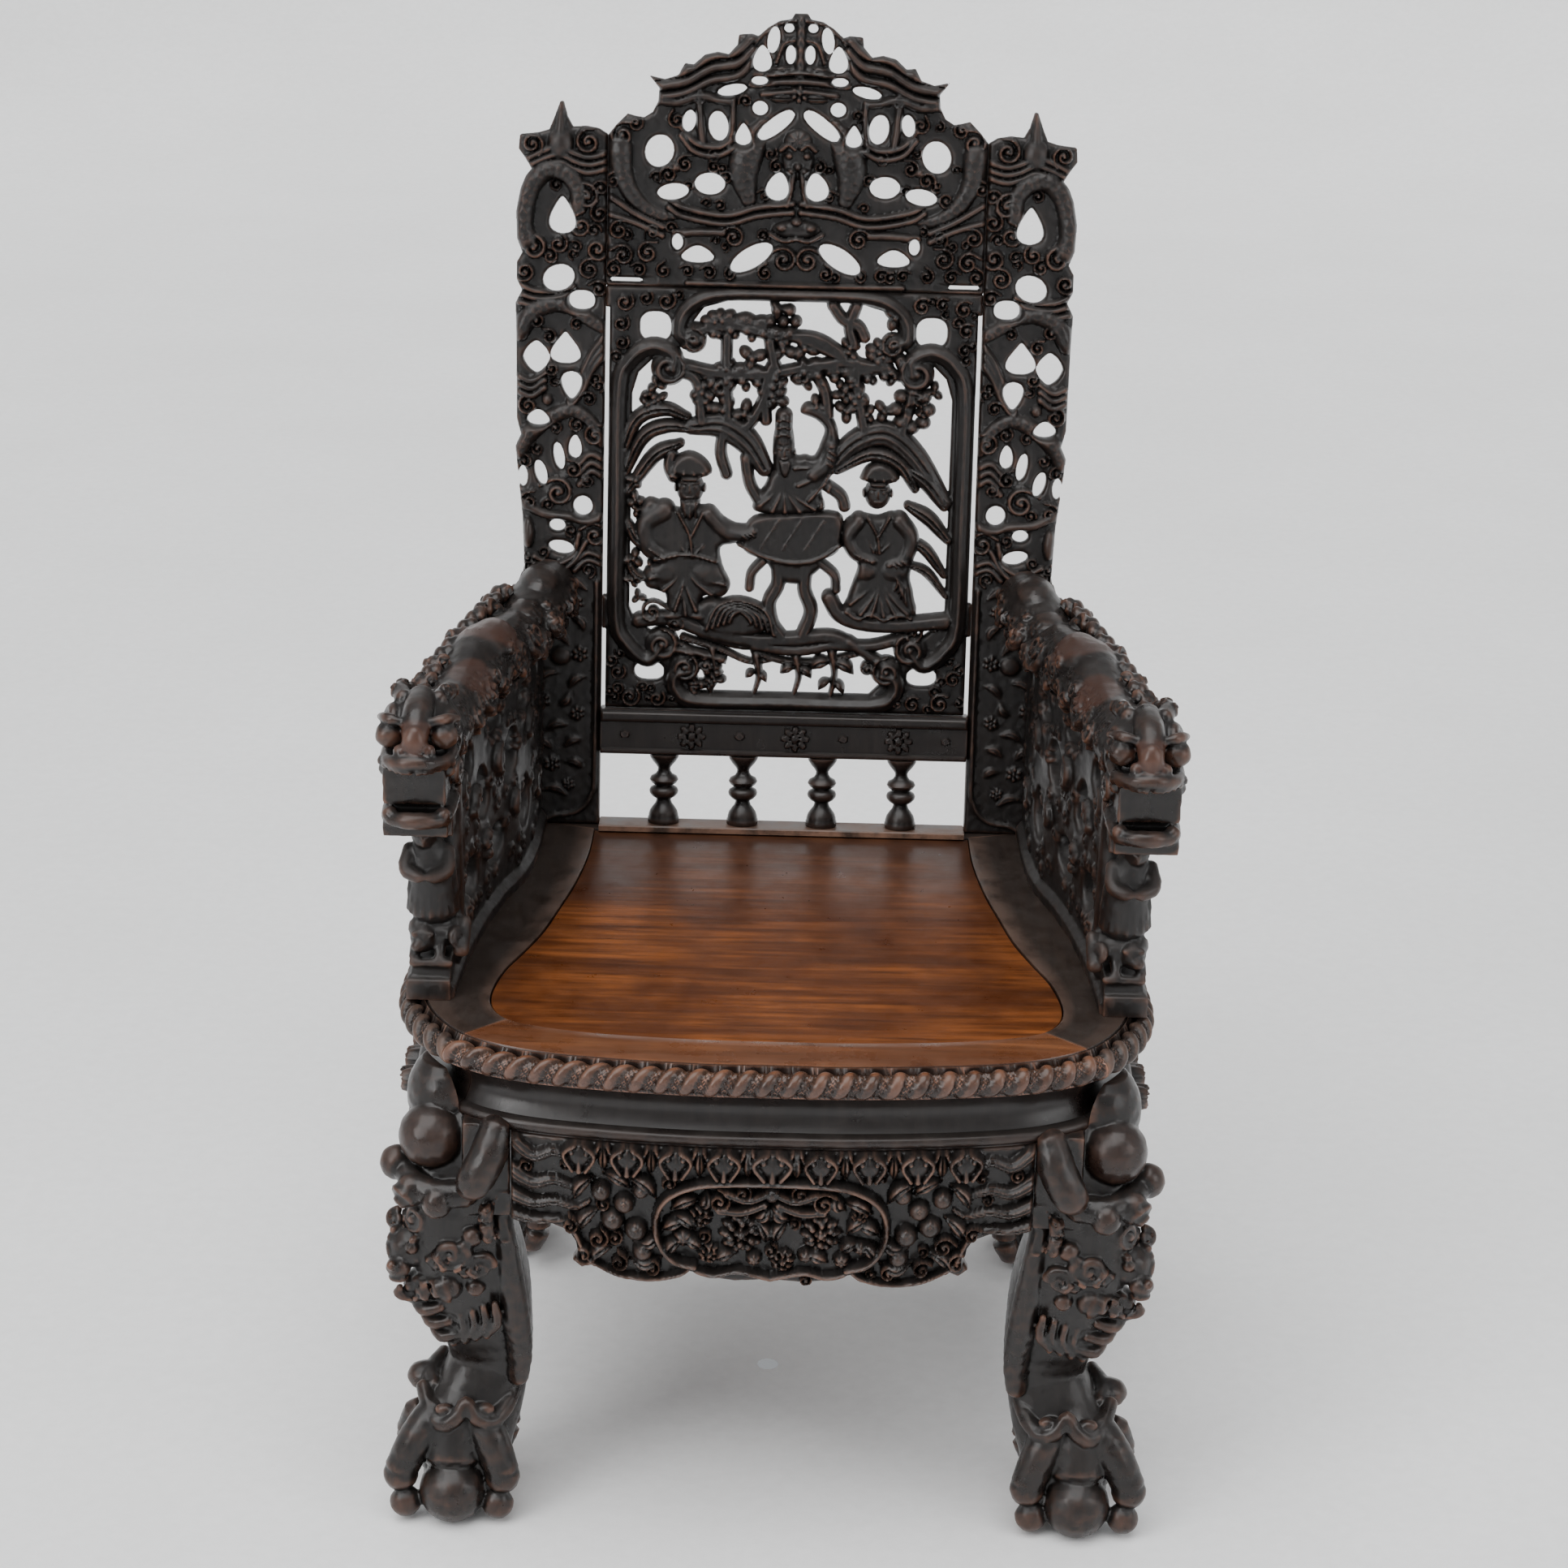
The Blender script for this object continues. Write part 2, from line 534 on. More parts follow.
def panel_sheet():
    """The middle board: a dark lobed moulding round an open garden scene."""
    sheet = Sheet((-176, 176), (PANEL_FOOT, PANEL_TOP), SHEET_STEP)
    half = [(SLIT_EDGE, PANEL_FOOT), (SLIT_EDGE, 193), (175.4, 193), (175.4, 225), (SLIT_EDGE, 225),
            (SLIT_EDGE, PANEL_TOP - 20), (175.4, PANEL_TOP - 20), (175.4, PANEL_TOP)]
    sheet.add_outline(closed_outline(half))
    field = [(0, 134), (80, 134), (92, 146), (98, 160), (112, 182), (130, 192), (146, 204), (150, 214),
             (150, 418), (144, 438), (130, 452), (112, 456), (97, 470), (97, 482), (84, 500), (60, 507),
             (0, 507)]
    sheet.cut_outline(closed_outline(field))
    for side in (1, -1):
        sheet.cut_oval(side * 130, 482, 29, 26, 0, 0, 2.6)
        sheet.cut_oval(side * 129, 151, 27, 16, 0, 0, 2.6)
        sheet.ridge([(side * 90, 152), (side * 104, 150), (side * 104, 136), (side * 84, 125), (0, 125)],
                    15, 8, solid=True)
        sheet.ridge([(side * 118, 178), (side * 132, 164), (side * 152, 180), (side * 162, 206),
                     (side * 162, 300), (side * 162, 420), (side * 152, 450), (side * 132, 463),
                     (side * 112, 456), (side * 112, 442)], 15, 8, solid=True)
        sheet.ridge([(side * 93, 468), (side * 106, 476), (side * 102, 496), (side * 82, 510),
                     (side * 50, 514), (0, 514)], 13, 8, solid=True)
        for cx, cy, r in [(115, 440, 11), (92, 467, 8), (117, 181, 10), (92, 154, 9)]:
            sheet.dome(side * cx, cy, 2 * r, 2 * r, 6, solid=True)
            sheet.spiral(side * cx, cy, r, 9, start=90)
        for cx, cy, r in [(158, 500, 9), (118, 504, 9), (160, 470, 8), (152, 130, 10), (122, 128, 8),
                          (160, 152, 7)]:
            sheet.spiral(side * cx, cy, r, 6, start=45)
    garden(sheet)
    return sheet


def garden(sheet):
    """Trees, banana leaves, three figures round a table, rocks and water plants."""
    branch = [[(-104, 476), (-60, 486), (-20, 476), (20, 474), (60, 452)], [(-10, 500), (0, 476), (10, 452)],
              [(36, 502), (56, 490), (64, 458)], [(-104, 446), (-60, 436), (-20, 438), (10, 432), (40, 440)],
              [(60, 455), (58, 430), (70, 400), (68, 372)], [(100, 456), (112, 424), (100, 398)],
              [(-62, 470), (-64, 440), (-52, 400)], [(-20, 470), (-18, 440), (-34, 400), (-46, 388)],
              [(16, 436), (28, 410), (42, 380), (38, 352)], [(150, 350), (142, 300), (152, 262)],
              [(-110, 440), (-90, 430), (-84, 400)]]
    for line in branch:
        sheet.ridge(line, 10, 6, solid=True)
    for cx, cy, w, h in [(-60, 480, 60, 18), (-8, 486, 34, 30), (50, 494, 34, 18), (-30, 430, 50, 20),
                         (66, 444, 36, 28), (-62, 408, 26, 22), (-30, 412, 20, 20), (104, 428, 26, 36),
                         (112, 404, 24, 26), (24, 430, 24, 30), (-84, 434, 24, 18), (20, 356, 60, 30)]:
        sheet.dome(cx, cy, w, h, 8, solid=True, power=2.4)
    sheet.cut_oval(24, 428, 12, 20, 0, 0, 2)
    sheet.cut_oval(66, 442, 8, 8, 0, 0, 2)
    leaves = [[(-156, 372), (-138, 398), (-110, 396), (-92, 376)], [(-154, 336), (-138, 372), (-116, 380)],
              [(-120, 330), (-112, 372), (-96, 386)], [(-112, 396), (-76, 392), (-44, 376), (-18, 352)],
              [(36, 362), (66, 388), (92, 398), (122, 378), (152, 344)]]
    for line in leaves:
        sheet.ridge(line, 15, 8, solid=True, groove=2.0)
    sheet.dome(-94, 344, 36, 44, 9, solid=True)
    sheet.dome(-8, 384, 24, 44, 9, solid=True)
    sheet.dome(88, 338, 28, 44, 9, solid=True)
    sheet.ridge([(-98, 326), (-100, 290), (-98, 240)], 66, 9, taper=(0.7, 1.0), solid=True, flat=True)
    sheet.ridge([(-124, 308), (-146, 290), (-150, 250), (-130, 244)], 13, 7, solid=True)
    sheet.ridge([(-76, 312), (-52, 298), (-28, 296)], 16, 8, solid=True)
    sheet.ridge([(-110, 250), (-108, 205)], 16, 7, solid=True)
    sheet.ridge([(-80, 250), (-76, 205)], 16, 7, solid=True)
    sheet.ridge([(0, 350), (4, 322)], 62, 8, solid=True, flat=True)
    sheet.ridge([(88, 322), (90, 290), (92, 234)], 56, 9, taper=(0.75, 1.0), solid=True, flat=True)
    sheet.ridge([(62, 316), (56, 292), (54, 274)], 12, 7, solid=True)
    sheet.ridge([(112, 306), (122, 280), (150, 262)], 12, 7, solid=True)
    sheet.cut_oval(46, 332, 20, 22, 0, 0.3, 2)
    table = [(-46, 276), (-30, 310), (48, 314), (50, 300), (40, 272), (30, 262), (-26, 262)]
    sheet.add_outline(np.array(table))
    sheet.ridge([(-34, 286), (40, 290)], 38, 6, flat=True)
    sheet.ridge([(-16, 266), (-10, 196)], 10, 5, solid=True)
    sheet.ridge([(22, 266), (16, 196)], 11, 5, solid=True)
    sheet.dome(-56, 206, 88, 46, 8, solid=True, power=2.4)
    sheet.ridge([(44, 226), (60, 208), (100, 208), (150, 212)], 16, 8, solid=True)
    sheet.ridge([(-140, 200), (-100, 196), (-60, 186), (0, 184), (60, 184), (110, 190)], 18, 7, solid=True)
    sheet.ridge([(60, 186), (84, 170), (100, 160)], 14, 6, solid=True)
    for x0, y0, x1, y1 in [(-110, 182, -58, 170), (-62, 134, -82, 160), (-50, 168, -22, 160),
                           (-24, 172, -24, 134), (8, 176, 6, 134), (46, 172, 48, 134),
                           (44, 150, 66, 158), (-66, 140, -30, 142), (-84, 140, -66, 168)]:
        sheet.ridge([(x0, y0), (x1, y1)], 10, 6, solid=True)
    for cx, cy in [(-70, 156), (-44, 152), (46, 156)]:
        sheet.dome(cx, cy, 22, 18, 7, solid=True)


place_sheet("back_panel", panel_sheet(), back_place, 1150, FACE, REAR,
            limits=[(0, 1, 175.4), (0, -1, -175.4), (1, 1, PANEL_TOP), (1, -1, PANEL_FOOT)])


def prism(name, profile, start, end, place, wood=WOOD):
    """A straight piece with one closed profile, from start to end along the first axis."""
    count = len(profile)
    points = [(start, a, b) for a, b in profile] + [(end, a, b) for a, b in profile]
    faces = [[i, i + count, (i + 1) % count + count, (i + 1) % count] for i in range(count)]
    faces += [list(range(count)), list(range(2 * count - 1, count - 1, -1))]
    mesh = mesh_of(name, place(np.array(points, float)), faces)
    work = bmesh.new()
    work.from_mesh(mesh)
    bmesh.ops.recalc_face_normals(work, faces=work.faces[:])
    work.to_mesh(mesh)
    work.free()
    return add_object(name, mesh, wood)


RAIL_TOP = PANEL_FOOT - 0.3
RAIL_PROFILE = [(RAIL_FOOT, -12), (RAIL_FOOT, 7), (76, 9), (104, 9), (108, 6), (112, 2), (RAIL_TOP, 1),
                (RAIL_TOP, -12)]
prism("back_lower_rail", RAIL_PROFILE, -175.4, 175.4, back_place)

SHOE_HALF_DEPTH = 17
SHOE_PROFILE = [(0, -SHOE_HALF_DEPTH), (0, SHOE_HALF_DEPTH), (SHOE_TOP, SHOE_HALF_DEPTH),
                (SHOE_TOP, -SHOE_HALF_DEPTH)]
prism("back_shoe_rail", SHOE_PROFILE, -175.4, 175.4, back_place)

BALUSTER_X = (-114.0, -38.0, 38.0, 114.0)
BALUSTER_PROFILE = [(15, SHOE_TOP + 0.3), (15, 11.5), (8, 21), (7, 27), (13.5, 34), (13.5, 37),
                    (9, 41), (13.5, 46), (6, 57), (13.5, 67), (13.5, RAIL_FOOT - 0.3)]
BALUSTER_SIDES = 6


def baluster(name, x):
    """A small turned baluster that leans with the back."""
    points = []
    for radius, h in BALUSTER_PROFILE:
        for k in range(BALUSTER_SIDES):
            a = 2 * math.pi * (k + 0.5) / BALUSTER_SIDES
            points.append((x + radius * math.cos(a), h, -2.0 + radius * math.sin(a)))
    faces = []
    for ring in range(len(BALUSTER_PROFILE) - 1):
        for k in range(BALUSTER_SIDES):
            a = ring * BALUSTER_SIDES + k
            b = ring * BALUSTER_SIDES + (k + 1) % BALUSTER_SIDES
            faces.append([a, a + BALUSTER_SIDES, b + BALUSTER_SIDES, b])
    last = (len(BALUSTER_PROFILE) - 1) * BALUSTER_SIDES
    faces.append(list(range(BALUSTER_SIDES)))
    faces.append(list(range(last + BALUSTER_SIDES - 1, last - 1, -1)))
    mesh = mesh_of(name, back_place(np.array(points)), faces)
    work = bmesh.new()
    work.from_mesh(mesh)
    bmesh.ops.recalc_face_normals(work, faces=work.faces[:])
    work.to_mesh(mesh)
    work.free()
    return add_object(name, mesh)


for index, x in enumerate(BALUSTER_X, start=1):
    baluster(f"baluster_{index}", x)

# Seat frame: outer edge and inner edge of the right half in millimetre units, front to back
HALF_UNITS = 327.5
DEPTH_UNITS = 576.0
FRONT_UNITS = 338.0
SEAT_OUTER = [(0, -338), (60, -337.5), (130, -332), (200, -321), (245, -306), (280, -283), (305, -250),
              (321, -212), (327.5, -170), (325, -110), (318, -30), (309, 60), (299, 150), (290, 238)]
SEAT_INNER = [(0, -268), (70, -267), (150, -260), (200, -249), (228, -236), (243, -214), (247, -182),
              (240, -135), (226, -92), (212, -45), (201, 10), (190, 70), (182, 140), (180, 205)]
OUTER_CORNER_INDEX = 5
INNER_CORNER_INDEX = 4
CURVE_STEPS = 8


def plan_point(x, y):
    """From the seat's drawing units to the room."""
    depth = (y + FRONT_UNITS) / DEPTH_UNITS * SEAT_DEPTH - SEAT_FRONT
    return x / HALF_UNITS * SEAT_WIDTH / 2, depth


def side_curves():
    """The outer and inner edges split into front half and side, as points in the room."""
    outer = smooth_curve(SEAT_OUTER, CURVE_STEPS)
    inner = smooth_curve(SEAT_INNER, CURVE_STEPS)
    outer = np.array([plan_point(*p) for p in outer])
    inner = np.array([plan_point(*p) for p in inner])
    a, b = OUTER_CORNER_INDEX * CURVE_STEPS, INNER_CORNER_INDEX * CURVE_STEPS
    return outer[:a + 1], outer[a:], inner[:b + 1], inner[b:]


OUTER_FRONT, OUTER_SIDE, INNER_FRONT, INNER_SIDE = side_curves()
REAR_Y = OUTER_SIDE[-1][1]


def full_front(curve):
    """The front curve from left to right."""
    left = curve[::-1] * np.array([-1.0, 1.0])
    return np.concatenate([left[:-1], curve])


def trimmed(curve, cut):
    """The curve without a short length at both ends."""
    steps = np.linalg.norm(np.diff(curve, axis=0), axis=1)
    along = np.concatenate([[0.0], np.cumsum(steps)])
    kept = along[(along > cut * 1.5) & (along < along[-1] - cut * 1.5)]
    wanted = np.concatenate([[cut], kept, [along[-1] - cut]])
    return np.stack([np.interp(wanted, along, curve[:, k]) for k in range(2)], axis=1)


def strip_mesh(outer, inner, profile, sections, lobe=None):
    """A curved strip swept from section to section; a profile point is (share, outward, height)."""
    outer = resample(trimmed(outer, GAP), sections)
    inner = resample(trimmed(inner, GAP), sections)
    count = len(profile)
    points = []
    for k in range(sections):
        way = outer[k] - inner[k]
        way = way / np.linalg.norm(way)
        for j, (from_outer, offset, z) in enumerate(profile):
            base = outer[k] if from_outer else inner[k]
            extra = 0.0
            if lobe and j in lobe and k % 2 == 1 and 0 < k < sections - 1:
                extra = lobe[j]
            p = base + way * (offset + extra)
            points.append((p[0], p[1], z))
    faces = []
    for k in range(sections - 1):
        for j in range(count):
            a, b = k * count + j, k * count + (j + 1) % count
            faces.append([a, b, b + count, a + count])
    faces.append(list(range(count - 1, -1, -1)))
    last = (sections - 1) * count
    faces.append([last + j for j in range(count)])
    mesh = mesh_of("strip", points, faces)
    work = bmesh.new()
    work.from_mesh(mesh)
    bmesh.ops.recalc_face_normals(work, faces=work.faces[:])
    bmesh.ops.triangulate(work, faces=work.faces[:])
    work.to_mesh(mesh)
    work.free()
    return mesh


LEDGE_TOP = SEAT_UNDER + LEDGE_THICK
FRAME_PROFILE = [(0, 0.0, SEAT_TOP), (1, -ROPE_WIDTH, SEAT_TOP), (1, -0.4 * ROPE_WIDTH, SEAT_TOP - 0.001),
                 (1, -0.0015, SEAT_TOP - 0.010), (1, -0.25 * ROPE_WIDTH, SEAT_TOP - 0.021),
                 (1, -0.45 * ROPE_WIDTH, SEAT_UNDER), (0, -LEDGE_WIDTH, SEAT_UNDER),
                 (0, -LEDGE_WIDTH, LEDGE_TOP), (0, 0.0, LEDGE_TOP)]
ROPE_LOBE = {3: 0.0015}
FRONT_PITCH = 0.0175
SIDE_PITCH = 0.0270


def length_of(curve):
    return float(np.linalg.norm(np.diff(curve, axis=0), axis=1).sum())


def sections_for(curve, pitch):
    """An odd number of sections at about the pitch."""
    return max(int(length_of(curve) / pitch / 2) * 2 + 1, 3)


def ring_piece(name, outer, inner, profile, pitch, lobe=None):
    mesh = strip_mesh(outer, inner, profile, sections_for(outer, pitch), lobe)
    return add_object(name, mesh)


def mirror_curve(curve):
    return curve * np.array([-1.0, 1.0])


front_outer = full_front(OUTER_FRONT)
front_inner = full_front(INNER_FRONT)
back_outer = np.array([[OUTER_SIDE[-1][0], REAR_Y], [-OUTER_SIDE[-1][0], REAR_Y]])
back_inner = np.array([[INNER_SIDE[-1][0], INNER_SIDE[-1][1]], [-INNER_SIDE[-1][0], INNER_SIDE[-1][1]]])
ring_piece("seat_board_front", front_outer, front_inner, FRAME_PROFILE, FRONT_PITCH, ROPE_LOBE)
ring_piece("seat_board_right", OUTER_SIDE, INNER_SIDE, FRAME_PROFILE, SIDE_PITCH, ROPE_LOBE)
ring_piece("seat_board_left", mirror_curve(OUTER_SIDE), mirror_curve(INNER_SIDE), FRAME_PROFILE,
           SIDE_PITCH, ROPE_LOBE)
ring_piece("seat_board_back", back_outer, back_inner, FRAME_PROFILE, 0.25)


def seat_panel():
    """The panel that lies in the rebate of the frame, slightly below its top."""
    front = resample(trimmed(front_inner, GAP), sections_for(front_outer, FRONT_PITCH))
    side = resample(trimmed(INNER_SIDE, GAP), sections_for(OUTER_SIDE, SIDE_PITCH))
    front = front[front[:, 0] > -1e-6]
    front[0, 0] = 0.0
    half = np.concatenate([front, side[1:]])
    ring = np.concatenate([half, mirror_curve(half[::-1][:-1])])
    count = len(ring)
    shrunk = []
    for i in range(count):
        before, here, after = ring[i - 1], ring[i], ring[(i + 1) % count]
        way = after - before
        normal = np.array([way[1], -way[0]]) / np.linalg.norm(way)
        shrunk.append(here - normal * PANEL_CLEARANCE)
    low, high = LEDGE_TOP + GAP, SEAT_TOP - PANEL_DROP
    points = [(x, y, low) for x, y in shrunk] + [(x, y, high) for x, y in shrunk]
    faces = [[i, (i + 1) % count, (i + 1) % count + count, i + count] for i in range(count)]
    faces += [list(range(count - 1, -1, -1)), list(range(count, 2 * count))]
    add_object("seat_panel", mesh_of("seat_panel", points, faces), SEAT_WOOD)


seat_panel()


def inset_curve(curve, inset):
    """The curve moved towards the middle of the seat."""
    way = np.gradient(curve, axis=0)
    normal = np.stack([way[:, 1], -way[:, 0]], axis=1)
    normal /= np.linalg.norm(normal, axis=1)[:, None]
    return curve - normal * inset


def waist_profile():
    """A hollow between two beads, from the inner top round to the inner foot."""
    top, foot = WAIST_TOP, WAIST_FOOT
    high = top - foot
    return [(0, 0.0, top), (1, 0.002, top), (1, -0.008, top - 0.22 * high), (1, -0.012, top - 0.48 * high),
            (1, -0.008, top - 0.72 * high), (1, 0.004, top - 0.82 * high), (1, 0.004, foot + 0.02 * high),
            (1, 0.001, foot), (0, 0.0, foot)]


WHOLE_EDGE = np.concatenate([OUTER_FRONT, OUTER_SIDE[1:]])


def side_band(inset):
    """A side band's curve, from the front mitre to the rear mitre."""
    band = inset_curve(WHOLE_EDGE, inset)[len(OUTER_FRONT) - 1:]
    return band[band[:, 1] < REAR_Y - inset]


def band_piece(name, side):
    """A side band between the front mitre and the rear band."""
    outer, inner = side_band(WAIST_INSET), side_band(WAIST_INSET + WAIST_DEPTH)
    end = REAR_Y - WAIST_INSET
    outer = np.concatenate([outer, [[np.interp(end, outer[:, 1], outer[:, 0]), end]]])
    end -= WAIST_DEPTH
    inner = np.concatenate([inner, [[np.interp(end, inner[:, 1], inner[:, 0]), end]]])
    if side < 0:
        outer, inner = mirror_curve(outer), mirror_curve(inner)
    ring_piece(name, outer, inner, waist_profile(), 0.070)
    return outer[-1], inner[-1]


def front_band(inset):
    half = inset_curve(WHOLE_EDGE, inset)[:len(OUTER_FRONT)]
    half[0, 0] = 0.0
    return full_front(half)


ring_piece("waist_front", front_band(WAIST_INSET), front_band(WAIST_INSET + WAIST_DEPTH),
           waist_profile(), 0.070)
band_end, band_inner_end = band_piece("waist_right", 1)
band_piece("waist_left", -1)
ring_piece("waist_back", np.array([band_end, band_end * [-1, 1]]),
           np.array([band_inner_end, band_inner_end * [-1, 1]]), waist_profile(), 0.3)


# Solid carving in drawing units: x and y of the seat's plan, z above the floor at the nominal height
UP = (0.0, 0.0, 1.0)
FORWARD = (0.0, -1.0, 0.0)


class Carving:
    """Overlapping closed forms in millimetre units, fused into one skin afterwards."""

    def __init__(self):
        self.points = []
        self.faces = []

    def add(self, points, faces):
        first = len(self.points)
        self.points += [tuple(p) for p in points]
        self.faces += [[v + first for v in face] for face in faces]

    def tube(self, points, radii, sides=12, up=UP, wide=1.0, power=2.0, steps=4):
        """A tapering limb along a smooth curve, round or squarish, with domed ends."""
        path = smooth_curve(points, steps) if len(points) > 2 else np.asarray(points, float)
        size = np.asarray(radii, float)
        if len(points) > 2:
            size = smooth_curve(size[:, None], steps)[:, 0]
        rings = []
        way = np.gradient(path, axis=0)
        way /= np.linalg.norm(way, axis=1)[:, None]
        caps = [(path[0] - way[0] * size[0] * 0.55, size[0] * 0.55, 0)]
        caps += [(path[k], size[k], k) for k in range(len(path))]
        caps += [(path[-1] + way[-1] * size[-1] * 0.55, size[-1] * 0.55, -1)]
        for centre, radius, k in caps:
            across = np.cross(way[k], np.asarray(up, float))
            across /= np.linalg.norm(across)
            rise = np.cross(across, way[k])
            ring = []
            for j in range(sides):
                a = 2 * math.pi * j / sides
                c, s = math.cos(a), math.sin(a)
                reach = radius / (abs(c) ** power + abs(s) ** power) ** (1 / power)
                ring.append(centre + across * (c * reach * wide) + rise * (s * reach))
            rings.append(ring)
        faces = []
        for k in range(len(rings) - 1):
            for j in range(sides):
                a, b = k * sides + j, k * sides + (j + 1) % sides
                faces.append([a, b, b + sides, a + sides])
        last = (len(rings) - 1) * sides
        faces.append(list(range(sides - 1, -1, -1)))
        faces.append([last + j for j in range(sides)])
        self.add([p for ring in rings for p in ring], faces)

    def ball(self, centre, radii, sides=14):
        """A ball or an egg."""
        rx, ry, rz = radii if hasattr(radii, "__len__") else (radii, radii, radii)
        rows = sides // 2
        points = [(centre[0], centre[1], centre[2] + rz)]
        for i in range(1, rows):
            a = math.pi * i / rows
            for j in range(sides):
                b = 2 * math.pi * j / sides
                points.append((centre[0] + rx * math.sin(a) * math.cos(b),
                               centre[1] + ry * math.sin(a) * math.sin(b), centre[2] + rz * math.cos(a)))
        points.append((centre[0], centre[1], centre[2] - rz))
        faces = [[0, 1 + j, 1 + (j + 1) % sides] for j in range(sides)]
        for i in range(rows - 2):
            for j in range(sides):
                a, b = 1 + i * sides + j, 1 + i * sides + (j + 1) % sides
                faces.append([a, a + sides, b + sides, b])
        last = len(points) - 1
        low = 1 + (rows - 2) * sides
        faces += [[low + j, last, low + (j + 1) % sides] for j in range(sides)]
        self.add(points, faces)

    def block(self, low, high):
        """A block between two corners."""
        points = [(x, y, z) for z in (low[2], high[2]) for y in (low[1], high[1]) for x in (low[0], high[0])]
        self.add(points, [[0, 2, 3, 1], [4, 5, 7, 6], [0, 1, 5, 4], [2, 6, 7, 3], [0, 4, 6, 2], [1, 3, 7, 5]])

    def curl(self, centre, radius, thick, facing, turns=1.2, start=0.0, hand=1):
        """A scroll lying on the surface that faces the given way."""
        out = Vector(facing).normalized()
        side = out.cross(Vector(UP)).normalized()
        rise = side.cross(out)
        points, radii = [], []
        count = int(9 * turns)
        for k in range(count + 1):
            t = k / count
            a = math.radians(start) + hand * 2 * math.pi * turns * t
            r = radius * (1.0 - 0.8 * t)
            p = Vector(centre) + side * (r * math.cos(a)) + rise * (r * math.sin(a)) + out * (thick * 0.5 * t)
            points.append(tuple(p))
            radii.append(thick * (1.0 - 0.25 * t))
        self.tube(points, radii, sides=8, up=tuple(out), steps=2)

    def plank(self, path, half_width, low, high):
        """A plank along a curve in plan."""
        curve = smooth_curve(path, 5)
        way = np.gradient(curve, axis=0)
        normal = np.stack([way[:, 1], -way[:, 0]], axis=1)
        normal /= np.linalg.norm(normal, axis=1)[:, None]
        points = []
        for p, n in zip(curve, normal):
            for sign, z in ((1, low), (1, high), (-1, high), (-1, low)):
                points.append((p[0] + sign * n[0] * half_width, p[1] + sign * n[1] * half_width, z))
        faces = []
        for k in range(len(curve) - 1):
            for j in range(4):
                a, b = k * 4 + j, k * 4 + (j + 1) % 4
                faces.append([a, b, b + 4, a + 4])
        last = (len(curve) - 1) * 4
        faces += [[3, 2, 1, 0], [last, last + 1, last + 2, last + 3]]
        self.add(points, faces)

    def fused(self, voxel, triangles):
        """One closed skin round all the forms, with about the number of triangles."""
        mesh = mesh_of("carving", self.points, self.faces)
        work = bmesh.new()
        work.from_mesh(mesh)
        bmesh.ops.recalc_face_normals(work, faces=work.faces[:])
        work.to_mesh(mesh)
        work.free()
        carrier = bpy.data.objects.new("carrier", mesh)
        bpy.context.collection.objects.link(carrier)
        skin = carrier.modifiers.new("skin", "REMESH")
        skin.mode = "VOXEL"
        skin.voxel_size = voxel
        out = evaluated(carrier)
        bpy.data.objects.remove(carrier, do_unlink=True)
        return reduce_to(biggest_body(out), triangles)


def to_room(mesh, place):
    """Moves a mesh from drawing units to the room."""
    co = np.empty(len(mesh.vertices) * 3)
    mesh.vertices.foreach_get("co", co)
    mesh.vertices.foreach_set("co", place(co.reshape(-1, 3)).ravel())
    mesh.update()
    return mesh


def seat_place(co):
    """Plan of the seat, heights above the seat's top."""
    x = co[:, 0] / HALF_UNITS * SEAT_WIDTH / 2
    y = (co[:, 1] + FRONT_UNITS) / DEPTH_UNITS * SEAT_DEPTH - SEAT_FRONT
    z = SEAT_TOP + (co[:, 2] - 460.0) * 0.001 * BACK_RISE / 0.770
    return np.stack([x, y, z], axis=1)


def leg_place(co):
    """Plan of the seat, heights as a share of the leg."""
    x = co[:, 0] / HALF_UNITS * SEAT_WIDTH / 2
    y = (co[:, 1] + FRONT_UNITS) / DEPTH_UNITS * SEAT_DEPTH - SEAT_FRONT
    return np.stack([x, y, co[:, 2] * 0.001 * LEG_SCALE], axis=1)


def cutter(name, low, high):
    """A block that only cuts."""
    block = Carving()
    block.block(low, high)
    piece = bpy.data.objects.new(name, mesh_of(name, block.points, block.faces))
    bpy.context.collection.objects.link(piece)
    piece.hide_render = True
    piece.display_type = "WIRE"
    return piece


def cut_away(piece, *tools):
    """Takes the tools out of the piece, and keeps what is left as one body."""
    for tool in tools:
        cut = piece.modifiers.new("cut", "BOOLEAN")
        cut.operation = "DIFFERENCE"
        cut.solver = "EXACT"
        cut.use_self = True
        cut.object = tool
    apply_all(piece)
    biggest_body(piece.data)
    for tool in tools:
        bpy.data.objects.remove(tool, do_unlink=True)
    return piece


def ring_cutter(inset, low, high):
    """Everything inside the seat's edge moved in by the inset, between two heights."""
    half = inset_curve(WHOLE_EDGE, inset)
    half[0, 0] = 0.0
    half = half[half[:, 1] < REAR_Y - inset]
    half = np.concatenate([half, [[half[-1, 0], REAR_Y - inset]]])
    ring = np.concatenate([half, mirror_curve(half[::-1][:-1])])
    count = len(ring)
    points = [(x, y, low) for x, y in ring] + [(x, y, high) for x, y in ring]
    faces = [[i, (i + 1) % count, (i + 1) % count + count, i + count] for i in range(count)]
    faces += [list(range(count - 1, -1, -1)), list(range(count, 2 * count))]
    piece = bpy.data.objects.new("band_cutter", mesh_of("band_cutter", points, faces))
    bpy.context.collection.objects.link(piece)
    piece.hide_render = True
    piece.display_type = "WIRE"
    return piece


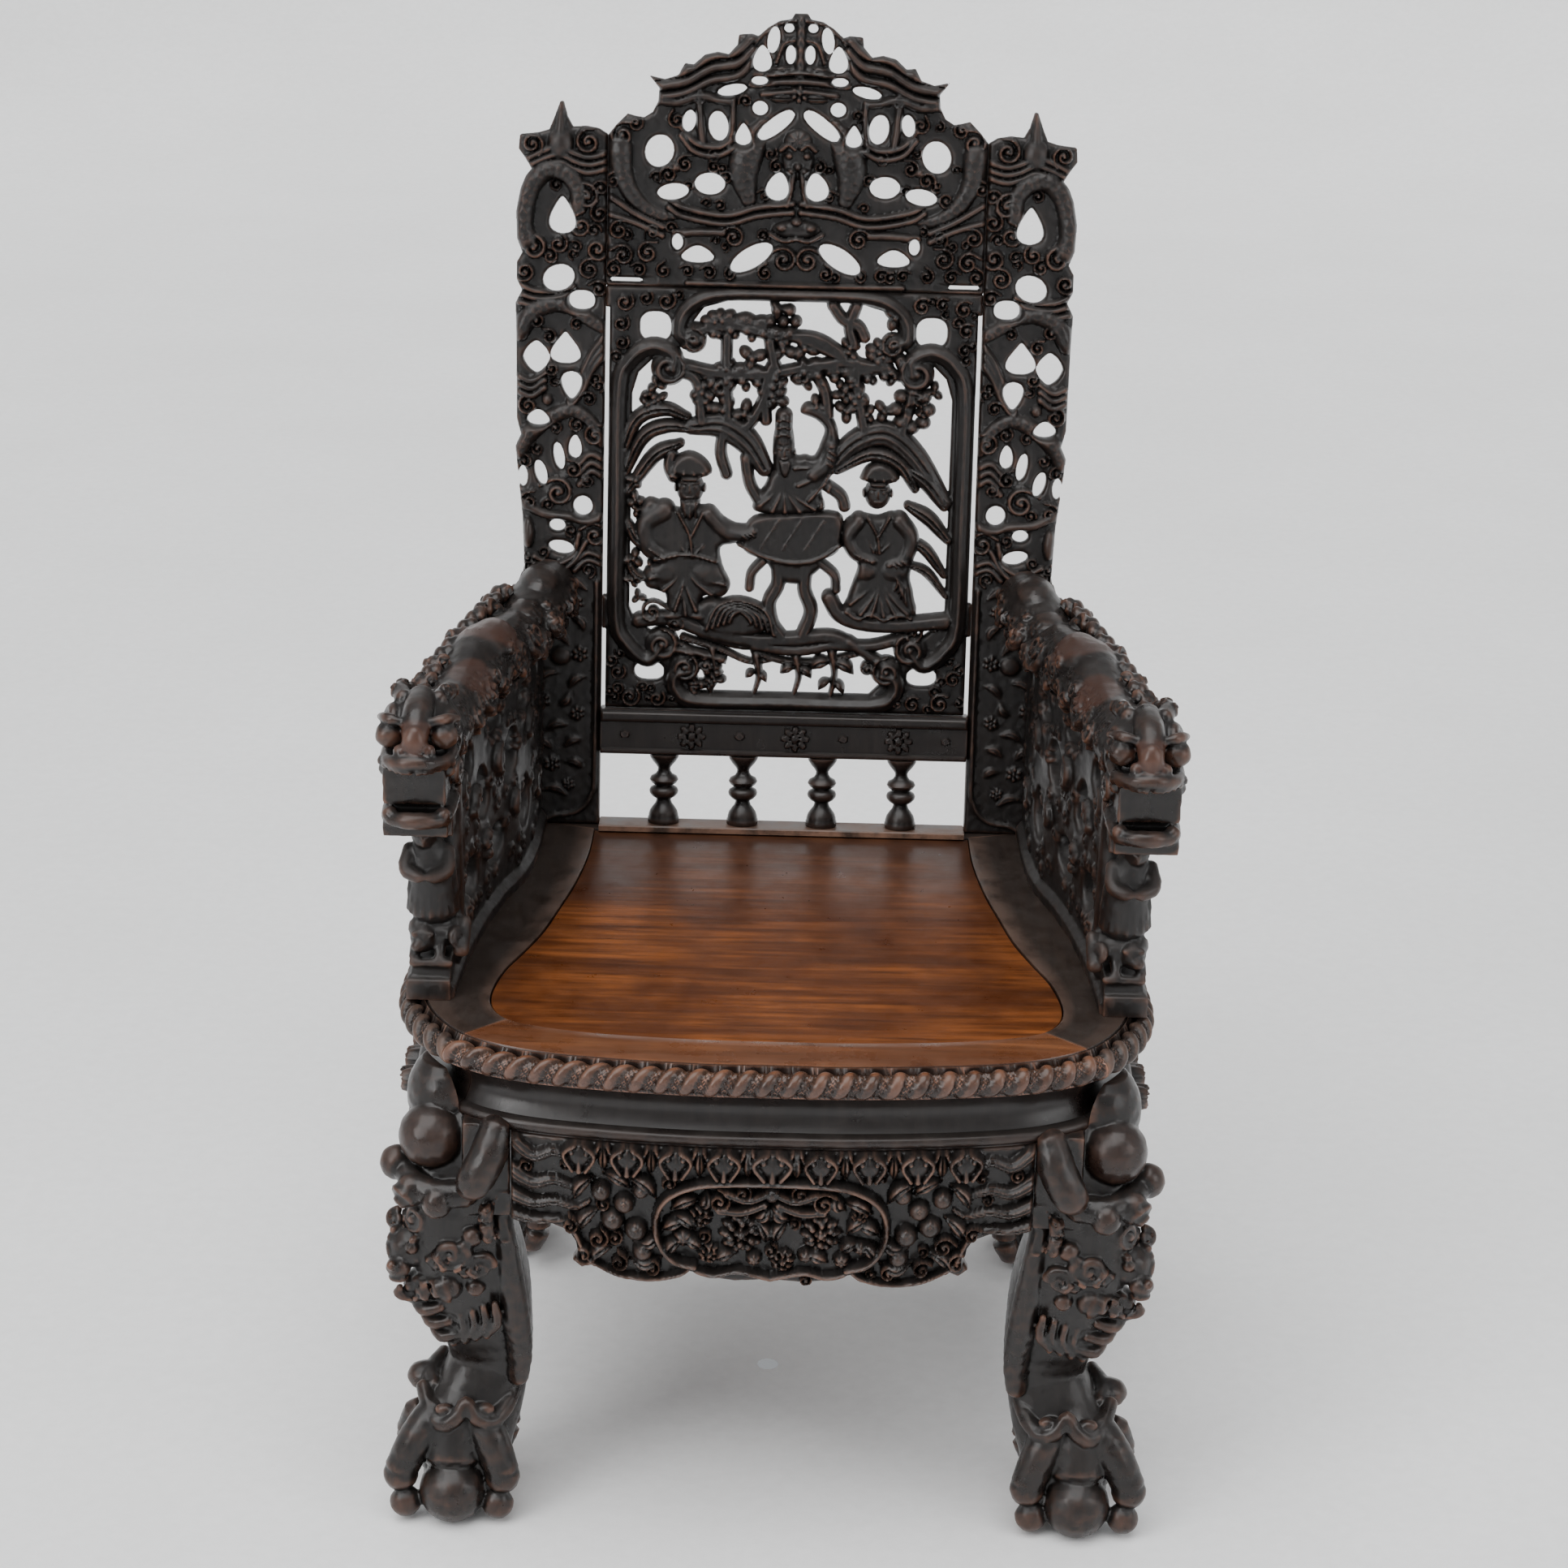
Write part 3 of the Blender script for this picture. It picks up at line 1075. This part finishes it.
LEG_SPINE = [(266, -246, 380), (266, -246, 345), (268, -249, 310), (268, -250, 270), (260, -243, 234),
             (254, -236, 204), (249, -230, 176), (245, -226, 148), (246, -227, 126), (254, -236, 98),
             (264, -246, 68), (268, -250, 36)]
LEG_RADII = [38, 40, 45, 47, 47, 45, 41, 37, 36, 40, 44, 42]
SOLE_HEIGHT = 12
LEG_VOXEL = 3.2


def leg_carving(plain):
    """A cabriole leg with a hand that holds a ball at the knee, an ankle collar and claws over a ball."""
    leg = Carving()
    leg.tube(LEG_SPINE, LEG_RADII, sides=16, up=FORWARD, power=3.0)
    leg.block((222, -296, 304), (262, -202, 390))
    leg.block((222, -246, 304), (312, -202, 390))
    leg.block((236, -282, -8), (300, -218, SOLE_HEIGHT))
    leg.ball((284, -246, 388), (38, 42, 44))
    leg.ball((290, -274, 368), 27)
    leg.ball((270, -272, 29), 30)
    leg.tube([(294, -254, 114), (308, -266, 88), (315, -274, 62), (313, -277, 50)], [15, 17, 17, 13])
    leg.ball((313, -262, 24), (18, 20, 17))
    leg.tube([(236, -260, 110), (231, -274, 86), (234, -284, 58), (238, -286, 44)], [13, 15, 15, 12])
    leg.ball((238, -272, 20), (15, 18, 15))
    leg.ball((315, -222, 40), (16, 18, 34))
    leg.ball((304, -226, 126), (19, 17, 15))
    leg.tube([(224, -254, 120), (240, -268, 124), (256, -269, 113), (272, -267, 124), (290, -248, 118)],
             [8, 10, 9, 10, 8])
    leg.tube([(282, -258, 124), (290, -230, 120), (286, -200, 126)], [9, 10, 8])
    if plain:
        return leg
    leg.tube([(232, -294, 392), (240, -306, 372), (254, -308, 350), (266, -304, 334)], [8, 14, 14, 9])
    leg.tube([(262, -298, 328), (288, -302, 330), (308, -288, 334), (319, -266, 342)], [12, 14, 14, 13])
    leg.ball((321, -262, 344), 12)
    leg.ball((307, -300, 332), 12)
    leg.ball((281, -308, 322), 11)
    leg.curl((300, -292, 300), 14, 7, (0.5, -1.0, 0.0))
    leg.curl((254, -298, 302), 12, 6, (0.0, -1.0, 0.0))
    leg.ball((311, -276, 262), (19, 19, 19))
    leg.ball((320, -290, 252), (11, 11, 10))
    leg.ball((290, -288, 284), 12)
    leg.curl((282, -292, 252), 15, 7, (0.3, -1.0, 0.0), hand=-1)
    leg.ball((302, -272, 228), (15, 16, 12))
    leg.tube([(290, -270, 214), (308, -276, 214), (319, -282, 222)], [9, 7, 4])
    leg.tube([(296, -274, 228), (274, -286, 212), (256, -284, 200)], [8, 9, 6])
    leg.tube([(288, -262, 204), (266, -276, 190), (248, -274, 180)], [8, 9, 6])
    leg.tube([(282, -254, 182), (262, -266, 168), (244, -264, 160)], [8, 9, 6])
    return leg


def rear_place(co):
    """Turns a leg's drawing to the rear corner, its foot splayed a little more."""
    high = co[:, 2] / 384.0
    out = co.copy()
    out[:, 0] = co[:, 0] - 14.0 * high
    out[:, 1] = -co[:, 1] - 54.0 + 20.0 * (1.0 - high)
    return leg_place(out)


def make_leg(name, plain, place, triangles):
    """A leg cut flat at the floor, under the seat's band, and at the aprons."""
    piece = add_object(name, to_room(leg_carving(plain).fused(LEG_VOXEL, triangles), place))
    if plain:
        flipped(piece.data)
    below = cutter("below", (-1.0, -1.0, -FLOOR_BOX_DEPTH), (1.0, 1.0, 0.0))
    deck = cutter("deck", (-1.0, -1.0, WAIST_TOP - 0.010), (1.0, 1.0, 1.0))
    band = ring_cutter(WAIST_INSET - 0.0045 - GAP, KNEE_TOP, 1.0)
    knee = WAIST_TOP
    inside = APRON_UNITS / HALF_UNITS * SEAT_WIDTH / 2 + KNEE_CLEARANCE + GAP
    front_gap = cutter("front_gap", (-inside, -1.0, 0.78 * KNEE_TOP), (inside, 1.0, knee))
    return cut_away(piece, below, deck, band, front_gap)


right_front = make_leg("leg_front_right", False, leg_place, 560)
mirrored(right_front, "leg_front_left")
right_rear = make_leg("leg_rear_right", True, rear_place, 420)
mirrored(right_rear, "leg_rear_left")


# Aprons, drawn along the seat's edge and down from the band
def front_line(x):
    """The seat's front edge in the room at a distance from the middle."""
    edge = full_front(OUTER_FRONT)
    return np.interp(x, edge[:, 0], edge[:, 1])


def apron_place(co):
    """Follows the bow of the seat's front."""
    x = co[:, 0] / HALF_UNITS * SEAT_WIDTH / 2
    y = front_line(x) + APRON_INSET + 0.012 - co[:, 2] * 0.001
    return np.stack([x, y, co[:, 1] * 0.001], axis=1)


FRONT_APRON_HALF = [(0, 260), (30, 258), (58, 262), (66, 270), (74, 262), (100, 256), (128, 258), (148, 268),
                    (160, 262), (168, 268), (162, 280), (172, 296), (190, 302), (APRON_UNITS, 300)]
BLOOM = [(-25, 306, 20), (40, 306, 17), (-60, 318, 10), (74, 312, 10), (-130, 300, 15), (130, 300, 15),
         (-112, 320, 11), (112, 320, 11), (-118, 282, 12), (118, 282, 12), (-98, 284, 10), (98, 284, 10),
         (-10, 285, 10), (16, 282, 11), (-45, 290, 9), (60, 292, 9), (-140, 330, 10), (140, 330, 10)]


def front_apron():
    """Drops along the top, a bat over two flowers in an oval, clusters and manes beside it."""
    top = KNEE_TOP * 1000
    sheet = Sheet((-APRON_UNITS, APRON_UNITS), (255, top), SHEET_STEP)
    half = FRONT_APRON_HALF + [(APRON_UNITS, top)]
    sheet.add_outline(closed_outline([(x, y) for x, y in half]))
    for k in range(-4, 5):
        wide = 30 if k == 0 else 24
        sheet.dome(k * 41, 372, wide, 24, 9, egg=-0.3)
        sheet.dome(k * 41 + 20, 374, 12, 16, 6)
    oval = [(0, 364), (-60, 360), (-90, 340), (-98, 318), (-90, 292), (-66, 278)]
    sheet.ridge(oval, 9, 9)
    sheet.ridge([(-x, y) for x, y in oval], 9, 9)
    sheet.ridge([(-60, 268), (-30, 276), (0, 270), (30, 276), (60, 268)], 12, 7)
    sheet.ridge([(-46, 340), (-24, 352), (0, 342), (24, 352), (46, 340)], 16, 9)
    for side in (1, -1):
        sheet.spiral(side * 46, 340, 9, 8, hand=side)
        sheet.ridge([(side * 76, 268), (side * 104, 262), (side * 134, 268), (side * 164, 296),
                     (side * 200, 306)], 7, 6)
        for y, dip in ((376, 12), (346, 8), (322, 6)):
            sheet.ridge([(side * 220, y), (side * 190, y - dip), (side * 162, y - dip * 0.4)], 18, 8,
                        taper=(1.0, 0.5))
    for cx, cy, r in BLOOM:
        sheet.rosette(cx, cy, r, 9)
    return sheet


place_sheet("apron_front", front_apron(), apron_place, 560, 12.0, -8.0,
            limits=[(0, 1, APRON_UNITS), (0, -1, -APRON_UNITS), (1, 1, KNEE_TOP * 1000)])

SIDE_FRONT_Y = -201.7
SIDE_REAR_Y = 147.7


def side_apron_sheet():
    """A plain side apron with a lobed edge and a row of drops."""
    top = KNEE_TOP * 1000
    sheet = Sheet((SIDE_FRONT_Y, SIDE_REAR_Y), (275, top), SHEET_STEP)
    outline = [(SIDE_FRONT_Y, 302), (-150, 303), (-132, 290), (-110, 280), (-70, 282), (-50, 290), (-27, 278),
               (-4, 290), (16, 282), (56, 280), (78, 290), (96, 303), (SIDE_REAR_Y, 302), (SIDE_REAR_Y, top),
               (SIDE_FRONT_Y, top)]
    sheet.add_outline(np.array(outline, float))
    for k in range(8):
        sheet.dome(-175 + 41 * k, 372, 24, 22, 7)
    sheet.ridge([(-120, 292), (-27, 300), (66, 292)], 12, 6)
    sheet.rosette(-27, 330, 20, 8)
    return sheet


def side_line(y):
    """The seat's side edge in the room at a depth."""
    return np.interp(y, WHOLE_EDGE[len(OUTER_FRONT) - 1:, 1], WHOLE_EDGE[len(OUTER_FRONT) - 1:, 0])


def side_apron_place(co):
    """Follows the seat's right side, drawn from front to rear, face outwards."""
    y = (co[:, 0] + FRONT_UNITS) / DEPTH_UNITS * SEAT_DEPTH - SEAT_FRONT
    x = side_line(y) - APRON_INSET - 0.012 + co[:, 2] * 0.001
    return np.stack([x, y, co[:, 1] * 0.001], axis=1)


right_side = place_sheet("apron_right", side_apron_sheet(), side_apron_place, 180, 12.0, -4.0,
                         limits=[(0, -1, SIDE_FRONT_Y), (0, 1, SIDE_REAR_Y), (1, 1, KNEE_TOP * 1000)])
mirrored(right_side, "apron_left")


def rear_apron_sheet():
    """The plain rear apron, with the same lobes as the front."""
    top = KNEE_TOP * 1000
    sheet = Sheet((-APRON_UNITS, APRON_UNITS), (290, top), 4.0)
    half = [(0, 296), (30, 292), (62, 298), (80, 306), (110, 298), (150, 306), (180, 316), (APRON_UNITS, 318),
            (APRON_UNITS, top)]
    sheet.add_outline(closed_outline(half))
    return sheet


def rear_apron_place(co):
    """Straight across behind, face to the rear."""
    x = -co[:, 0] / HALF_UNITS * SEAT_WIDTH / 2
    return np.stack([x, REAR_Y - WAIST_INSET - 0.006 + co[:, 2] * 0.001, co[:, 1] * 0.001], axis=1)


place_sheet("apron_back", rear_apron_sheet(), rear_apron_place, 90, 6.0, -10.0, edge=6.0,
            limits=[(0, 1, APRON_UNITS), (0, -1, -APRON_UNITS), (1, 1, KNEE_TOP * 1000)])


# Arms
ARM_SPINE = [(224, 262, 692), (232, 205, 690), (244, 150, 677), (258, 90, 681), (272, 30, 690),
             (283, -40, 681), (291, -100, 682), (296, -150, 688), (300, -190, 696)]
ARM_RADII = [27, 28, 28, 29, 31, 28, 28, 30, 32]
ARM_CURLS = [(206, 206), (218, 150), (232, 96), (246, 44), (256, -6), (264, -52), (270, -100)]
ARM_FOOT_PATH = [(240, 262), (244, 205), (246, 140), (252, 80), (268, 20), (280, -40), (289, -110),
                 (295, -195)]
JOINT_UNITS = 660.0
JAW_UNITS = 623.0
POST_UNITS = -152.0


def arm_cutters(side):
    """Blocks for the flat joint under the rail and over the support; side is 1 under, -1 over."""
    joint = seat_place(np.array([[0.0, POST_UNITS, JOINT_UNITS]]))[0]
    jaw = seat_place(np.array([[0.0, POST_UNITS, JAW_UNITS]]))[0]
    if side > 0:
        return [cutter("under_rail", (-1, joint[1] - GAP / 2, -1), (1, 2, joint[2])),
                cutter("under_jaw", (-1, -2, -1), (1, 2, jaw[2]))]
    return [cutter("over_side", (-1, -2, joint[2] - GAP), (1, 2, 2)),
            cutter("over_post", (-1, -2, jaw[2] - GAP), (1, joint[1] + GAP / 2, 2))]


def back_cutter():
    """Everything behind the face of the back."""
    piece = cutter("behind", (-1, 0, -1), (1, 1, 2))
    co = np.array([v.co for v in piece.data.vertices])
    y = BACK_Y + co[:, 2] * math.sin(BACK_RAKE) + co[:, 1] * math.cos(BACK_RAKE)
    z = SEAT_TOP + co[:, 2] * math.cos(BACK_RAKE) - co[:, 1] * math.sin(BACK_RAKE)
    face = BOARD_FACE + GAP
    y -= face * math.cos(BACK_RAKE)
    z += face * math.sin(BACK_RAKE)
    piece.data.vertices.foreach_set("co", np.stack([co[:, 0], y, z], axis=1).ravel())
    piece.data.update()
    return piece


def arm_dragon():
    """The arm rail: a dragon with clouds round it and its head over the post."""
    arm = Carving()
    arm.tube(ARM_SPINE, ARM_RADII, sides=16)
    arm.ball((302, -186, 704), (33, 36, 30))
    arm.block((278, -240, 652), (331, -140, 692))
    arm.block((276, -242, 626), (331, -140, 640))
    arm.block((278, -220, 638), (330, -140, 656))
    arm.tube([(272, -176, 690), (275, -234, 694), (303, -255, 699), (328, -234, 694), (330, -176, 690)],
             [6, 7, 9, 7, 6], sides=8)
    arm.tube([(275, -180, 637), (279, -234, 640), (304, -250, 643), (328, -234, 640), (329, -180, 637)],
             [7, 8, 9, 8, 7], sides=8)
    arm.tube([(303, -190, 728), (303, -222, 726), (303, -246, 708)], [12, 13, 12])
    for side in (-1, 1):
        arm.ball((303 + side * 22, -222, 715), 12)
        arm.ball((303 + side * 12, -250, 704), 7)
        arm.curl((303 + side * 24, -164, 676), 14, 6, (side, -0.2, 0.3), hand=side)
        arm.tube([(303 + side * 18, -196, 728), (303 + side * 20, -160, 726), (303 + side * 14, -128, 714)],
                 [9, 9, 5])
    for k in range(7):
        t = k / 6.0
        arm.ball((285 + 34 * math.sin(0.5 * math.pi * t), 40 - 170 * t, 708 - 4 * t), (9, 10, 9))
    arm.ball((262, 40, 702), (22, 44, 20))
    arm.ball((230, 200, 702), (22, 34, 20))
    for k, (x, y) in enumerate(ARM_CURLS):
        arm.curl((x, y, 684), 17, 8, (-1.0, -0.1, 0.4), start=70 * k)
    return arm


SUPPORT_CLOUDS = [(110, 600), (60, 545), (20, 600), (-20, 530), (-60, 590), (-100, 500), (-110, 620),
                  (150, 530)]


def support_sheet():
    """The pierced side panel, drawn along the arm and up from the base plank."""
    sheet = Sheet((-175, 262), (472, JOINT_UNITS + 6), 3.0)
    outline = [(-150, 472), (262, 472), (262, 674), (-150, 674)]
    sheet.add_outline(np.array(outline, float))
    for cx, cy, w, h, turn in [(-118, 560, 28, 56, 10), (-80, 630, 42, 32, 20), (-70, 520, 50, 42, -20),
                               (-28, 585, 38, 54, 25), (10, 638, 42, 26, 0), (14, 520, 48, 38, 15),
                               (52, 592, 34, 52, -20), (92, 634, 40, 30, 10), (98, 530, 44, 50, 0),
                               (142, 588, 30, 46, 20), (174, 520, 34, 36, 0), (182, 632, 30, 28, 0)]:
        sheet.cut_oval(cx, cy, w, h, turn)
    return sheet


def along_arm(co):
    """From the support's drawing to the seat's drawing units: along the arm, up, outwards."""
    path = smooth_curve(ARM_FOOT_PATH, 8)
    order = np.argsort(path[:, 1])
    y, x = path[order, 1], path[order, 0]
    slope = np.gradient(x, y)
    px = np.interp(co[:, 0], y, x)
    tilt = np.interp(co[:, 0], y, slope)
    size = np.sqrt(1.0 + tilt ** 2)
    return np.stack([px + co[:, 2] / size, co[:, 0] - co[:, 2] * tilt / size, co[:, 1]], axis=1)


def arm_support():
    """The plank on the seat, the pierced panel, and the post: slabs, a lion and a robed figure."""
    arm = Carving()
    half = SUPPORT_THICK * 500
    panel = sheet_mesh(support_sheet(), half, -half, half, 3.0)
    co = np.array([v.co for v in panel.vertices])
    arm.add(along_arm(co), [list(p.vertices) for p in panel.polygons])
    arm.plank(ARM_FOOT_PATH, 18, 452, 474)
    arm.block((280, -202, 452), (318, -140, 479))
    arm.block((279, -196, 470), (314, -140, 494))
    arm.ball((290, -164, 512), (20, 26, 17))
    arm.ball((305, -184, 510), (14, 14, 14))
    arm.tube([(272, -188, 500), (270, -170, 525)], [8, 6])
    arm.tube([(296, -168, 528), (297, -169, 565), (301, -170, 598)], [21, 18, 14])
    arm.ball((303, -176, 604), (11, 11, 13))
    arm.block((276, -192, 606), (334, -140, 630))
    arm.tube([(286, -146, 480), (288, -146, 640)], [15, 15], power=3.0)
    for y, z in SUPPORT_CLOUDS:
        x = float(along_arm(np.array([[y, z, 0.0]]))[0, 0])
        arm.ball((x - 8, y, z), (12, 16, 13))
        arm.ball((x + 8, y + 12, z + 6), (12, 13, 14))
    return arm


def make_arm(name, carving, voxel, triangles, tools):
    """An arm piece against the back, cut flat at its joints."""
    piece = add_object(name, to_room(carving.fused(voxel, triangles), seat_place))
    return cut_away(piece, back_cutter(), *tools)


right_dragon = make_arm("arm_dragon_right", arm_dragon(), 3.5, 560, arm_cutters(1))
mirrored(right_dragon, "arm_dragon_left")
seat_plane = cutter("seat_plane", (-1, -1, -1), (1, 1, SEAT_TOP + GAP))
right_support = make_arm("arm_support_right", arm_support(), 3.5, 620, arm_cutters(-1) + [seat_plane])
mirrored(right_support, "arm_support_left")
